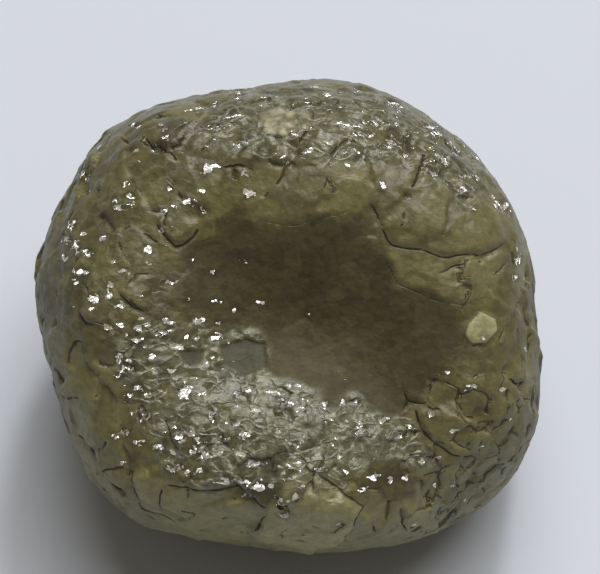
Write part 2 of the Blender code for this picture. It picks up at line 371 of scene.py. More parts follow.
def facets(points, size, tilt, salt):
    """Relief of small flat facets: size is their width along u, v and w, tilt their slope."""
    places = points / np.array(size)
    core, cell = nearest_cells(places)
    ways = np.stack([scatter(cell, salt + k) for k in range(3)], axis=-1) * 2.0 - 1.0
    return tilt * (((places - core) * np.array(size)) * ways).sum(axis=1)


print("relief of one facet, mm:", facets(np.ones((1, 3)), (0.60, 0.24, 0.36), 0.16, 11).round(3))

# %% [markdown]
# ## The whole surface
# The mesh starts as a cube whose sides are divided into squares and pushed out to a ball. That
# keeps the squares even, with no pinched poles. They are drawn towards the dished side, where
# there is most to see, and each point is then moved out to where the stone's surface lies.

# %% Directions from the middle
SIDE_SQUARES = 128
FRONT_PULL, RIM_PULL = 0.42, 0.12
LUMP_SIZE, LUMP_HEIGHT = 3.2, 0.13


def cube_ball(squares):
    """Directions to the points of a divided cube, and the four corners of each square."""
    steps = np.tan(np.linspace(-math.pi / 4, math.pi / 4, squares + 1))
    a, b = np.meshgrid(steps, steps, indexing="ij")
    one = np.ones_like(a)
    sides = [(one, a, b), (-one, b, a), (b, one, a), (a, -one, b), (a, b, one), (b, a, -one)]
    points = np.concatenate([np.stack(side, axis=-1).reshape(-1, 3) for side in sides])
    corner = np.arange((squares + 1) ** 2).reshape(squares + 1, squares + 1)
    ring = np.stack((corner[:-1, :-1], corner[1:, :-1], corner[1:, 1:], corner[:-1, 1:]), axis=-1)
    quads = np.concatenate([ring.reshape(-1, 4) + k * corner.size for k in range(6)])
    kept, same = np.unique(np.round(points, 9), axis=0, return_inverse=True)
    return kept / np.linalg.norm(kept, axis=1)[:, None], same.ravel()[quads]


def drawn_forward(directions):
    """Directions pulled together about the +w axis."""
    angle = np.arccos(np.clip(directions[:, 2], -1.0, 1.0))
    new = angle - FRONT_PULL * np.sin(angle) + RIM_PULL * np.sin(2.0 * angle)
    beside = np.hypot(directions[:, 0], directions[:, 1])
    stretch = np.sin(new) / np.where(beside > 1e-9, beside, 1.0)
    return np.column_stack((directions[:, 0] * stretch, directions[:, 1] * stretch, np.cos(new)))


def stone_surface(directions):
    """The shape without its skin, the skin's relief on it, and what the material reads."""
    cushion = directions * cushion_reach(directions)[:, None]
    lumps = LUMP_HEIGHT * noise_at(cushion, LUMP_SIZE)
    formed = cushion + directions * (lumps - dish_depth(cushion))[:, None]

    # The shares fade with w towards the girdle, where the outline has to stay as it was drawn.
    u, v, w = formed.T
    front = rise(w, 0.0, 0.6)
    outer = 0.3 + 0.7 * rise(np.abs(w), 0.0, 1.5)
    raised = rise(w, 0.3, 1.7)
    wander = LEDGE_WANDER * noise_at(formed, LEDGE_WANDER_SIZE)

    # Bricks are at the lower right. The dish and the front's foot have calmer plates.
    bricks = rise(w, -0.8, 0.2) * rise(u, 1.9, 2.4) * rise(-v, 0.7, 1.3)
    in_dish = front * rise(dish_depth(cushion), 0.15, 0.7)
    calm = np.maximum(in_dish, 0.35 * rise(w, 0.3, 1.2) * rise(-v, 3.0, 3.4))
    plates_share = (1.0 - bricks) * (1.0 - (1.0 - SMOOTH_DISH_SHARE) * calm)
    plates, plate_tones, plate_side, plate_near = crust(formed, *PLATES)
    blocks, brick_tones, brick_side, brick_near = crust(formed, *BRICKS)
    ledges, ledge_side, ledge_near = ledge_relief(u + wander, v - wander)

    relief = plates_share * (outer * plates - CRACK_DEPTH * groove(plate_near))
    relief += bricks * (outer * blocks - CRACK_DEPTH * groove(brick_near))
    relief += raised * ledges + front * pit_relief(u, v)
    in_bricks = bricks > 0.5
    fields = {
        "crust_side": np.where(in_bricks, brick_side, plate_side),
        "crust_near": np.where(in_bricks, brick_near, rise(plates_share, 0.2, 0.6) * plate_near),
        "ledge_side": ledge_side,
        "ledge_near": raised * ledge_near,
        "tone": plate_tones + bricks * (brick_tones - plate_tones),
    }
    return formed, relief, fields


directions, quads = cube_ball(SIDE_SQUARES)
directions = drawn_forward(directions)
formed, relief, fields = stone_surface(directions)
print("points:", len(directions), "squares:", len(quads))

# %% [markdown]
# ## Where each kind of skin lies
# The skin changes from place to place: a frost of tiny facets on the near wall and the far rim,
# a smooth deep part with a painted shade, clearer areas with a painted glow of light let through
# them, two polished windows, a pale inclusion and one bright chip. They could be painted by hand
# on the mesh. Outlines of a few points do the same in code, and give each point a share from 0 to
# 1 for the relief and the material.

# %% Outlines
# The etched areas (u, v): the dish's near wall, the left cheek and the far rim.
NEAR_WALL = (
    (-3.7, -0.1), (-3.3, -1.1), (-2.9, -2.0), (-2.4, -2.9), (-1.6, -3.3), (0.0, -3.2), (0.9, -3.3),
    (1.5, -2.7), (2.9, -2.9), (2.7, -2.2), (2.2, -1.9), (1.1, -1.55), (0.2, -1.40), (-0.45, -1.1),
    (-0.45, -0.35), (-1.2, -0.15), (-2.4, 0.0),
)
LEFT_CHEEK = (
    (-4.7, -0.6), (-3.7, -0.1), (-2.4, 0.1), (-1.7, 0.7), (-2.1, 1.8), (-1.4, 2.8), (-1.9, 4.0),
    (-3.4, 3.6), (-4.4, 2.6),
)
FAR_RIM = (
    (-1.9, 3.6), (-0.9, 3.2), (0.6, 3.0), (1.6, 3.0), (2.5, 2.7), (3.2, 2.3), (3.9, 2.2), (3.8, 3.0),
    (2.9, 3.8), (1.9, 4.3), (0.5, 4.6), (-1.2, 4.4),
)

# Polished windows in the frost, the pale inclusion and the bright chip, as outlines (u, v).
WINDOWS = (
    ((-1.36, -0.50), (-0.86, -0.36), (-0.50, -0.46), (-0.44, -0.92), (-0.86, -1.08), (-1.30, -0.86)),
    ((-2.18, -0.58), (-1.64, -0.58), (-1.70, -0.84), (-1.94, -0.90)),
)
INCLUSION = ((-0.62, 3.92), (-0.30, 4.10), (0.10, 3.98), (0.14, 3.62), (-0.16, 3.48), (-0.52, 3.56))
CHIP = (
    (3.58, 0.14), (3.86, 0.0), (3.90, -0.20), (3.70, -0.44), (3.44, -0.44), (3.32, -0.28),
    (3.38, -0.08),
)
# The deep part of the dish: smooth and dull, with a painted shade in the colour.
DEEP = (
    (-1.9, 1.3), (-0.8, 1.7), (0.2, 1.8), (0.9, 2.0), (1.7, 1.4), (2.0, 0.7), (2.7, 0.4), (3.3, 0.2),
    (3.3, -0.6), (2.9, -0.9), (2.5, -1.6), (1.9, -1.95), (1.1, -1.6), (0.2, -1.45), (-0.4, -1.15),
    (-0.5, -0.3), (-0.9, -0.1), (-1.8, 0.0), (-2.2, 0.6),
)
# Painted glow: where light let through the clearer body makes it lighter, how much, and an outline (u, v).
CLEAR_GLOW = (
    (1.0, ((0.14, -2.68), (0.78, -3.12), (1.40, -3.60), (1.10, -4.20), (0.60, -4.60), (-0.70, -4.30),
           (-0.40, -3.60))),
    (0.7, ((-3.0, -2.9), (-1.9, -3.1), (-0.5, -3.6), (-0.9, -4.3), (-2.4, -4.0), (-3.0, -3.4))),
    (0.20, ((1.2, 2.2), (1.9, 1.4), (3.0, 1.2), (4.2, 1.5), (4.0, 2.2), (3.0, 2.6), (1.6, 2.9))),
    (0.28, ((1.7, 1.5), (3.0, 1.2), (4.1, 1.4), (3.9, 0.5), (3.3, 0.25), (2.7, 0.4), (2.0, 0.7))),
    (0.2, ((-0.8, 1.9), (0.2, 1.8), (1.2, 2.2), (1.6, 3.0), (0.4, 3.0), (-0.9, 2.8))),
    (0.22, ((2.2, -1.4), (4.6, -0.8), (5.0, -2.6), (3.8, -4.0), (2.4, -3.6))),
    (0.35, ((-4.4, -0.6), (-3.4, -0.8), (-3.0, -2.6), (-3.4, -3.6), (-4.4, -2.8))),
    (0.45, ((-3.4, -2.9), (-1.0, -3.6), (1.6, -3.6), (3.0, -3.2), (3.2, -4.6), (0.0, -5.2),
            (-3.0, -4.6))),
)
print("clear areas:", len(CLEAR_GLOW), "windows:", len(WINDOWS))

# %% Inside an outline
def inside(outline, u, v, edge):
    """1 inside a closed outline, 0 outside it, over an edge of the given width."""
    nearest = np.full(len(u), np.inf)
    crossings = np.zeros(len(u), dtype=int)
    for (u0, v0), (u1, v1) in zip(outline, outline[1:] + outline[:1]):
        du, dv = u1 - u0, v1 - v0
        ahead = np.clip(((u - u0) * du + (v - v0) * dv) / (du * du + dv * dv), 0.0, 1.0)
        nearest = np.minimum(nearest, np.hypot(u - u0 - ahead * du, v - v0 - ahead * dv))
        spans = (v0 > v) != (v1 > v)
        crossings += spans & (u < u0 + (v - v0) * du / (dv if dv else 1.0))
    signed = np.where(crossings % 2 == 1, nearest, -nearest)
    return np.clip(0.5 + signed / edge, 0.0, 1.0)


# %% [markdown]
# ## Glints
# A facet flashes when it sends the lamp's light to the eye, and the flashes of this stone lie
# in clusters that give it its sparkle. Facets tilted at random would flash at random. So the
# places of the flashes are given as small ovals, and inside them the material turns its
# facets towards the lamp. What shines there is a real reflection, so it changes with the view.

# %% Places of the glints
# Where the lamp stands, in u, v and w.
LAMP_TOWARD = (0.20, 0.55, 1.0)

# Ovals where facets flash in the lamp: u, v, half width and half height, in hundredths of a mm.
GLINTS = (
    (-148, 414, 6, 8), (-178, 406, 6, 10), (-100, 430, 6, 14), (-300, 374, 8, 6), (-202, 368, 8, 8),
    (-242, 368, 8, 6), (-236, 342, 8, 8), (-160, 370, 10, 6), (-138, 370, 10, 6), (-142, 344, 10, 6),
    (-94, 330, 10, 12), (-404, 282, 10, 12), (-230, 248, 6, 6), (-310, 212, 18, 8), (-330, 218, 8, 10),
    (-236, 206, 12, 6), (-192, 224, 18, 6), (-166, 208, 10, 8), (-156, 284, 8, 10), (-86, 276, 6, 6),
    (-422, 180, 8, 10), (-430, 152, 10, 8), (-412, 142, 10, 8), (-396, 128, 12, 8), (-434, 116, 10, 6),
    (-362, 156, 6, 6), (-268, 134, 10, 10), (-316, 92, 12, 6), (-300, 82, 10, 6), (-342, 66, 6, 6),
    (-346, 46, 8, 8), (-372, 40, 8, 8), (-328, 30, 10, 8), (-410, 72, 10, 6), (-398, 90, 16, 6),
    (-230, 70, 10, 6), (-198, 40, 12, 6), (-186, 112, 8, 6), (-152, 90, 16, 6), (-86, 112, 8, 6),
    (-142, 36, 8, 6), (-106, 24, 8, 10), (-236, -2, 8, 6), (-174, 0, 16, 6), (-136, -4, 8, 6),
    (-56, 30, 14, 6), (34, 10, 10, 6), (-8, 302, 8, 8), (24, 312, 8, 6), (-78, 242, 10, 8),
    (38, 402, 8, 8), (98, 442, 6, 6), (132, 446, 6, 8), (198, 420, 12, 6), (210, 410, 8, 6),
    (78, 402, 14, 6), (94, 408, 8, 6), (98, 374, 12, 6), (114, 368, 8, 6), (154, 420, 8, 6),
    (158, 376, 16, 6), (198, 372, 12, 6), (118, 316, 16, 10), (142, 306, 10, 6), (104, 320, 8, 6),
    (188, 334, 18, 6), (198, 346, 12, 8), (218, 340, 10, 6), (232, 352, 12, 6), (272, 370, 14, 6),
    (282, 356, 12, 6), (272, 300, 18, 6), (258, 294, 10, 6), (292, 294, 10, 6), (272, 276, 12, 6),
    (318, 322, 10, 8), (272, 332, 8, 6), (144, 352, 16, 6), (324, 246, 18, 6), (352, 252, 12, 6),
    (338, 272, 14, 6), (224, 230, 6, 6), (174, 250, 6, 8), (342, 212, 10, 6), (412, 216, 6, 12),
    (398, 220, 6, 8), (438, 116, 10, 8), (432, 80, 8, 6), (362, -30, 6, 6), (482, -44, 6, 6),
    (454, -58, 6, 6), (472, -140, 6, 8), (264, -178, 6, 6), (298, -98, 10, 6), (342, -128, 12, 6),
    (84, -104, 8, 6), (104, -120, 10, 6), (-8, -124, 10, 6), (-16, -154, 10, 8), (64, -160, 8, 10),
    (98, -158, 8, 6), (124, -160, 10, 6), (144, -150, 8, 6), (172, -190, 16, 6), (132, -210, 12, 8),
    (208, -220, 6, 8), (64, -198, 8, 6), (192, -304, 12, 6), (158, -298, 10, 6), (138, -320, 8, 6),
    (218, -300, 8, 6), (314, -320, 6, 8), (282, -324, 6, 6), (4, -334, 10, 8), (-16, -348, 8, 10),
    (-10, -368, 14, 6), (92, -384, 6, 6), (-288, -34, 16, 8), (-242, -28, 12, 6), (-292, -14, 8, 8),
    (-328, -74, 8, 10), (-326, -108, 8, 6), (-308, -88, 10, 14), (-292, -128, 12, 6), (-268, -138, 14, 8),
    (-308, -142, 8, 6), (-202, -140, 10, 10), (-196, -128, 10, 8), (12, -124, 8, 6), (-102, -142, 10, 6),
    (-276, -184, 10, 8), (-208, -220, 6, 14), (-188, -218, 8, 10), (-168, -228, 12, 6), (-148, -180, 8, 8),
    (-102, -198, 8, 6), (-88, -220, 16, 8), (-122, -224, 10, 8), (-288, -232, 10, 6), (-256, -244, 12, 6),
    (-322, -218, 12, 6), (-182, -250, 8, 10), (-158, -258, 16, 6), (-218, -280, 14, 6), (-168, -284, 12, 6),
    (-68, -278, 18, 6), (-122, -306, 16, 8), (-94, -308, 12, 6), (-138, -304, 8, 6), (-82, -334, 18, 6),
    (-56, -320, 16, 6), (-22, -340, 8, 10), (12, -328, 10, 8), (2, -158, 12, 6), (24, -170, 10, 6),
    (24, -270, 6, 10),
)


def glint_field(u, v):
    """1 in the middle of each oval of the list, a half at its edge, and 0 well outside."""
    field = np.zeros(len(u))
    for middle_u, middle_v, half_u, half_v in np.array(GLINTS) / 100.0:
        spread = np.hypot((u - middle_u) / half_u, (v - middle_v) / half_v)
        field = np.maximum(field, 1.0 - 0.5 * spread)
    return field


print("glints:", len(GLINTS))

# %% The shares of each kind of skin
RAGGED_BY, RAGGED_SIZE = 0.25, 0.5


def largest(fields):
    """At each point, the largest of several values."""
    return np.maximum.reduce(list(fields))


def frost_share(points, front, ragged):
    """How far each point's skin is etched to a frost of facets."""
    u, v, _ = points.T
    frost = np.maximum(inside(NEAR_WALL, u, v + ragged, 0.22), inside(FAR_RIM, u, v + ragged, 0.35))
    frost = front * np.maximum(frost, 0.24 * inside(LEFT_CHEEK, u, v + ragged, 0.5))
    patches = rise(noise_at(points + 9.0, 2.4), 0.15, 0.35)
    return np.maximum(frost, 0.4 * (1.0 - front) * patches)


def skin_shares(points):
    """The share of each kind of skin at every point."""
    u, v, w = points.T
    front = rise(w, 0.0, 0.6)
    ragged = RAGGED_BY * noise_at(points, RAGGED_SIZE)
    skin = {
        "window": front * largest(inside(outline, u, v, 0.30) for outline in WINDOWS),
        "inclusion": front * inside(INCLUSION, u + 0.3 * ragged, v, 0.30),
        "chip": front * inside(CHIP, u, v, 0.24),
    }
    skin["flat"] = rise(largest(skin.values()), 0.35, 0.65)
    skin["frost"] = frost_share(points, front, ragged) * (1.0 - skin["flat"])
    skin["deep"] = front * rise(inside(DEEP, u + 0.9 * ragged, v + 1.2 * ragged, 0.34), 0.0, 1.0)
    clear_glow = largest(share * inside(outline, u + 0.3 * ragged, v, 0.12) for share, outline in CLEAR_GLOW)
    skin["clear_glow"] = front * clear_glow
    skin["glint"] = front * glint_field(u, v) * (1.0 - 0.45 * skin["deep"])
    return skin


skin = skin_shares(formed)
print("mean shares:", {kind: round(float(share.mean()), 3) for kind, share in skin.items()})

# %% [markdown]
# ## Fine relief
# Over the shared shape comes what is too fine for the plain solid: the facets of the frost, a
# soft unevenness elsewhere, the raised chip, the sunken windows and the rough inclusion. It is
# added to the points themselves and not only as a bump in the material, so that it shows in the
# outline and in the mesh as well.

# %% Fine relief over the shared shape
# Facets: width along u, v and w, slope, and the number that sets their draw apart.
COARSE_FACETS = ((0.60, 0.24, 0.36), 0.16, 11)
FINE_FACETS = ((0.30, 0.13, 0.18), 0.18, 29)
SWELL_FACETS = ((0.6, 0.5, 0.55), 0.045, 47)
CHIP_STANDS, WINDOW_SINKS, INCLUSION_ROUGH = 0.07, 0.05, 0.04
EASED_BY = 0.5


def fine_relief(points, skin):
    """What the facets, the chip, the windows and the inclusion add to the surface, in mm."""
    smooth = rise(noise_at(points * (1.0, 2.0, 1.4) + 7.0, 0.5), 0.0, 0.18)
    etched = 0.6 * skin["frost"] * (1.0 - 0.7 * smooth)
    broken = facets(points, *COARSE_FACETS) + facets(points, *FINE_FACETS)
    plain = np.maximum(skin["flat"], 0.8 * skin["deep"])
    extra = etched * broken + (1.0 - etched) * (1.0 - plain) * facets(points, *SWELL_FACETS)
    extra += CHIP_STANDS * rise(skin["chip"], 0.3, 0.7) - WINDOW_SINKS * rise(skin["window"], 0.3, 0.7)
    return extra + INCLUSION_ROUGH * rise(skin["inclusion"], 0.3, 0.7) * noise_at(points, 0.16)


def eased(values, share):
    """Each point's value moved towards the mean of the points around it."""
    total = np.zeros(len(values))
    count = np.zeros(len(values))
    for k in range(4):
        ends = quads[:, k], quads[:, (k + 1) % 4]
        for here, there in (ends, ends[::-1]):
            np.add.at(total, here, values[there])
            np.add.at(count, here, 1.0)
    return values + share * (total / count - values)


extra = fine_relief(formed, skin)
surface = formed + directions * (eased(relief, EASED_BY) + extra)[:, None]
print("fine relief, mm:", round(float(extra.min()), 3), round(float(extra.max()), 3))

# %% [markdown]
# ## Standing the stone on its face
# The stone rests on one flat cleavage face. The points below that height are brought up to it
# along their own direction, which leaves the face flat, and the whole is set where the frame
# has it: middle over the origin, base at height zero.

# %% Into the frame
def from_middle_to_origin(world):
    """The move that sets the stone's middle over the origin and its cut face at height zero."""
    middle = (world.min(axis=0) + world.max(axis=0)) / 2.0
    return np.array((-middle[0], -middle[1], BASE_BELOW_MIDDLE))


def into_frame(points):
    """Dish coordinates in millimetres to the frame's metres, resting on the cut base."""
    world = points @ dish_frame()
    low = world[:, 2] < -BASE_BELOW_MIDDLE
    world[low] *= (-BASE_BELOW_MIDDLE / world[low, 2])[:, None]
    return (world + from_middle_to_origin(world)) * MM


def held_in_box(world, corners):
    """The points, with the few that stand out of the solid's box set back to it."""
    low, high = np.array(corners[0]), np.array(corners[1])
    print("below the box, mm:", ((low - world.min(axis=0)) / MM).round(3))
    print("above the box, mm:", ((world.max(axis=0) - high) / MM).round(3))
    return np.clip(world, low, high)


places = held_in_box(into_frame(surface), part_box(STONE_NODE))

# %% [markdown]
# ## The mesh and what it carries
# The points and squares become one closed mesh. Colours could be laid on it with an unwrapped
# image, but a stone has no seam to unwrap along. Each point carries plain numbers instead: its
# share of each kind of skin, its plate's tone and its place beside the nearest crack. The
# material reads them as attributes.

# %% The stone as an object
MASKS = ("frost", "glint", "deep", "clear_glow", "window", "inclusion", "chip")


def add_mask(mesh, name, values):
    """Stores one value for each point, for the material to read."""
    layer = mesh.attributes.new(name, "FLOAT", "POINT")
    layer.data.foreach_set("value", np.asarray(values, dtype=np.float32))


def stone_object():
    """The stone as one smooth-shaded mesh with its masks."""
    mesh = bpy.data.meshes.new("rough_diamond_surface")
    mesh.from_pydata(places.tolist(), [], quads.tolist())
    mesh.validate()
    mesh.shade_smooth()
    for name in MASKS:
        add_mask(mesh, name, skin[name])
    for name, values in fields.items():
        add_mask(mesh, name, values)
    stone = bpy.data.objects.new("rough_diamond_surface", mesh)
    bpy.context.scene.collection.objects.link(stone)
    return stone


stone = stone_object()
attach(stone, "root")
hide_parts(STONE_NODE)
print("triangles:", 2 * len(stone.data.polygons))

# %% [markdown]
# ## The diamond
# Diamond is clear, hard and bends light strongly. This one is clouded through and its skin is
# etched, so only a little light gets past the skin. One Principled shader says so with plain
# values: diamond's IOR, a part transmission and an absorbing volume that tints the depth. The
# rest of the look lies in the skin, whose colour, fine bumps and gloss change from place to
# place, and comes from the numbers on the mesh and from noise.

# %% Colours and gloss
BODY_DARK = (0.098, 0.083, 0.024, 1.0)
BODY_LIGHT = (0.240, 0.215, 0.072, 1.0)
# Painted shade for the deep part of the dish.
DISH_SHADE_COLOUR = (0.082, 0.066, 0.016, 1.0)
# Painted glow for the clearer areas.
CLEAR_GLOW_COLOUR = (0.41, 0.385, 0.165, 1.0)
# Frost: its greyer etched skin, partly a painted sheen.
FROST_AND_SHEEN_COLOUR = (0.232, 0.234, 0.152, 1.0)
# Painted highlight along the frost's ridges.
VEIN_HIGHLIGHT_COLOUR = (0.43, 0.43, 0.31, 1.0)
WINDOW_COLOUR = (0.088, 0.092, 0.054, 1.0)
# Painted highlight on the lit lips of cracks.
LIP_HIGHLIGHT_COLOUR = (0.30, 0.275, 0.15, 1.0)
PALE_DARK, PALE_LIGHT = (0.22, 0.20, 0.10, 1.0), (0.60, 0.56, 0.37, 1.0)
CHIP_COLOUR = (0.58, 0.56, 0.29, 1.0)
CRACK_COLOUR = (0.026, 0.020, 0.007, 1.0)
# Painted sheen on the girdle where it turns up.
RIM_SHEEN_COLOUR = (0.33, 0.33, 0.27, 1.0)
ABSORBED_COLOUR, ABSORBED_DENSITY = (0.75, 0.72, 0.42, 1.0), 260.0
SKIN_ROUGHNESS, FACET_ROUGHNESS = 0.50, 0.11
DIAMOND_IOR = 2.42
SEEN_THROUGH = 0.25
SKIN_SPECULAR = 0.07

# %% [markdown]
# ## A short way to write nodes
# A skin with this much on it takes well over a hundred nodes. Setting each one up by hand takes
# four or five lines, and its links more. A small helper adds a node, fills in its values and
# joins whatever sockets it is given, so that a whole step of the skin fits on one line.

# %% A helper for nodes
class Tree:
    """Adds nodes to a node tree and links them in one line each."""

    def __init__(self, tree):
        self.tree = tree

    def add(self, kind, inputs=None, **settings):
        """A node with its settings, and values or sockets on its inputs."""
        node = self.tree.nodes.new(kind)
        for name, value in settings.items():
            setattr(node, name, value)
        for key, value in (inputs or {}).items():
            if isinstance(value, bpy.types.NodeSocket):
                self.tree.links.new(value, node.inputs[key])
            else:
                node.inputs[key].default_value = value
        return node

    def mask(self, name):
        """One of the mesh's stored values."""
        return self.add("ShaderNodeAttribute", attribute_name=name).outputs["Fac"]

    def mix(self, share, first, second):
        """A colour between two."""
        inputs = {"Factor": share, 6: first, 7: second}
        return self.add("ShaderNodeMix", inputs, data_type="RGBA").outputs[2]

    def math(self, operation, *values):
        """A sum on values or sockets."""
        return self.add("ShaderNodeMath", dict(enumerate(values)), operation=operation).outputs[0]

    def vector(self, operation, *values):
        """A sum on vectors."""
        return self.add("ShaderNodeVectorMath", dict(enumerate(values)), operation=operation).outputs[0]

    def dot(self, first, second):
        """How far two directions agree, from -1 to 1."""
        inputs = {0: first, 1: second}
        return self.add("ShaderNodeVectorMath", inputs, operation="DOT_PRODUCT").outputs["Value"]

    def scaled(self, colour, share):
        """A colour made darker or lighter."""
        inputs = {0: colour, "Scale": share}
        return self.add("ShaderNodeVectorMath", inputs, operation="SCALE").outputs[0]

    def smooth(self, value, low, high):
        """0 at low, 1 at high, and an even curve between."""
        inputs = {0: value, 1: low, 2: high}
        return self.add("ShaderNodeMapRange", inputs, interpolation_type="SMOOTHSTEP").outputs[0]

    def cloud(self, place, scale, detail, roughness=0.5, output="Fac"):
        """Smooth noise, with about the given number of lumps to a millimetre."""
        inputs = {"Vector": place, "Scale": scale, "Detail": detail, "Roughness": roughness}
        return self.add("ShaderNodeTexNoise", inputs).outputs[output]


# %% [markdown]
# ## Cracks as thin lines
# A crack in this skin is a dark line with a lip beside it that catches the light, and the lip's
# light is a painted highlight. Carving it into the mesh needs points closer than the line is
# wide. The mesh holds a shallow groove, and the distance to the crack's middle that it carries
# changes evenly from point to point, so the shader can cut a sharp line of any width out of it.
# Noise makes the line wander and break off.

# %% A crack's line and its lip
CRACK_HALF_WIDTH = 0.030


def crack_line(t, kind, place):
    """A kind of crack that the mesh holds: its dark line, and the lip on its lit side, which the colour
    lightens as a painted highlight.
    """
    wobble = t.math("MULTIPLY_ADD", t.cloud(place, 5.0, 3.0), 0.30, -0.15)
    side = t.math("ADD", t.mask(kind + "_side"), wobble)
    whole = t.smooth(t.cloud(place, 3.2, 2.0), 0.28, 0.46)
    near = t.math("MULTIPLY", t.smooth(t.mask(kind + "_near"), 0.50, 0.75), whole)
    line = t.smooth(t.math("ABSOLUTE", side), CRACK_HALF_WIDTH / CRACK_REACH, 0.0)
    lip = t.math("MULTIPLY", t.smooth(side, 0.08, 0.20), t.smooth(side, 0.60, 0.25))
    return t.math("MULTIPLY", line, near), t.math("MULTIPLY", lip, near)


# %% [markdown]
# ## Ridges in the frost
# Close up, the frosted wall is a net of crooked ridges round small sunken islands. The ridges
# are raised in the bump and given a painted highlight in the colour. The borders between the
# cells of a Voronoi texture make such a net, once noise has bent it, and a second noise leaves
# gaps, so that it doesn't look woven.

# %% The frost's ridges
def frost_ridges(t, place):
    """How near to a ridge, from 0 to 1."""
    bend = t.cloud(place, 2.6, 3.0, output="Color")
    bent = t.vector("MULTIPLY_ADD", bend, (0.5, 0.3, 0.3), place)
    inputs = {"Vector": t.vector("MULTIPLY", bent, (2.6, 4.2, 3.6)), "Scale": 1.0}
    cells = t.add("ShaderNodeTexVoronoi", inputs, feature="DISTANCE_TO_EDGE")
    ridge = t.smooth(cells.outputs["Distance"], 0.16, 0.0)
    return t.math("MULTIPLY", ridge, t.smooth(t.cloud(place, 2.0, 2.0), 0.40, 0.58))


# %% [markdown]
# ## What colour, relief and gloss share
# The same cracks are dark, sunken and dull at once, so they are worked out once and handed on.
# The cracks fade out round the girdle, where the skin turns away from the dish. How far it turns
# is read from the surface's own direction against the dish axis, not from the camera, so it
# stays in its place when the stone is seen from another side.

# %% The skin's shared values
def skin_values(t, place):
    """What the steps below all need: the shares of the skin, the cracks and the ridges."""
    crust_crack, crust_lip = crack_line(t, "crust", place)
    ledge_crack, ledge_lip = crack_line(t, "ledge", place)
    normal = t.add("ShaderNodeNewGeometry").outputs["Normal"]
    axis = tuple(float(c) for c in dish_frame()[2])
    aside = t.math("SUBTRACT", 1.0, t.math("ABSOLUTE", t.dot(normal, axis)))
    seam = t.math("MAXIMUM", t.math("MULTIPLY", crust_crack, 0.8), ledge_crack)
    frost = t.mask("frost")
    return {
        "normal": normal,
        "aside": aside,
        "seam": t.math("MULTIPLY", seam, t.smooth(aside, 0.72, 0.50)),
        "lip": t.math("MAXIMUM", crust_lip, ledge_lip),
        "frost": frost,
        "vein": t.math("MULTIPLY", frost_ridges(t, place), frost),
        "deep": t.mask("deep"),
        "window": t.smooth(t.mask("window"), 0.42, 0.58),
        "chip": t.smooth(t.mask("chip"), 0.42, 0.56),
        "inclusion": t.smooth(t.mask("inclusion"), 0.35, 0.60),
    }


# %% [markdown]
# ## The colour
# The body is an olive grey whose plates differ a little in tone. The deep dish gets a painted
# shade, and the clearer areas a painted glow of light let through them. Frost is greyer, partly
# its etched skin and partly a painted sheen, and the girdle gets a painted sheen where it turns
# up. Each is mixed over the last by its share, as a painter lays thin glazes.

# %% The body's colour
def body_colour(t, place, skin):
    """The clouded body: its plates, the painted glow of its clearer areas, the painted shade of the deep
    dish, and the frost with its partly painted sheen.
    """
    cloud = t.smooth(t.cloud(place, 0.9, 7.0, 0.7), 0.3, 0.7)
    colour = t.mix(t.math("MULTIPLY_ADD", t.mask("tone"), 0.8, cloud), BODY_DARK, BODY_LIGHT)
    # Painted glow: the clearer areas are lightened by light let through them.
    colour = t.mix(t.mask("clear_glow"), colour, CLEAR_GLOW_COLOUR)
    dapple = t.smooth(t.cloud(place, 1.4, 5.0), 0.3, 0.8)
    # Painted shade: the deep dish is darkened, less where the dapple is light.
    deep = t.math("MULTIPLY", skin["deep"], t.math("MULTIPLY_ADD", dapple, -0.4, 1.0))
    colour = t.mix(deep, colour, DISH_SHADE_COLOUR)
    # Frost: greyer etched skin, partly a painted sheen.
    frost = t.math("MULTIPLY", skin["frost"], t.math("MULTIPLY_ADD", dapple, 0.5, 0.3))
    return t.mix(frost, colour, FROST_AND_SHEEN_COLOUR)


# %% The colour of what marks the skin
def marked_colour(t, place, skin, colour):
    """The colour with painted highlights on the veins and the lit lips, the windows, the inclusion and the
    chip laid over it.
    """
    # Painted highlight along the frost's ridges.
    colour = t.mix(t.math("MULTIPLY", skin["vein"], 0.8), colour, VEIN_HIGHLIGHT_COLOUR)
    colour = t.mix(t.math("MULTIPLY", skin["window"], 0.85), colour, WINDOW_COLOUR)
    # Painted highlight on the lip at each crack's lit side.
    colour = t.mix(t.math("MULTIPLY", skin["lip"], 0.45), colour, LIP_HIGHLIGHT_COLOUR)
    speckle = t.smooth(t.cloud(place, 4.0, 4.0), 0.35, 0.65)
    colour = t.mix(skin["inclusion"], colour, t.mix(speckle, PALE_DARK, PALE_LIGHT))
    return t.mix(skin["chip"], colour, CHIP_COLOUR)


# %% The colour of painted sheen, painted shade and cracks
def sheen_shade_and_crack_colour(t, place, skin, colour):
    """The colour with a painted sheen on the girdle, a fine mottle, painted shade round the glints, and the
    dark of cracks.
    """
    # Painted sheen: the skin is greyed where it turns away from the dish axis and faces up.
    upward = t.dot(skin["normal"], (0.0, 0.0, 1.0))
    rim = t.math("MULTIPLY", t.smooth(skin["aside"], 0.42, 0.80), t.smooth(upward, 0.0, 0.6))
    colour = t.mix(t.math("MULTIPLY", rim, 0.7), colour, RIM_SHEEN_COLOUR)
    mottle = t.smooth(t.cloud(place, 6.0, 4.0, 0.7), 0.58, 0.40)
    darker = t.scaled(colour, t.math("MULTIPLY_ADD", skin["frost"], -0.20, 0.78))
    colour = t.mix(mottle, colour, darker)
    # Painted shade in and round the glint ovals, so that the glints stand out.
    shade = t.math("MULTIPLY", t.smooth(t.mask("glint"), 0.05, 0.40), 0.35)
    dark = t.math("MAXIMUM", shade, t.math("MULTIPLY", skin["seam"], 0.85))
    return t.mix(dark, colour, CRACK_COLOUR)


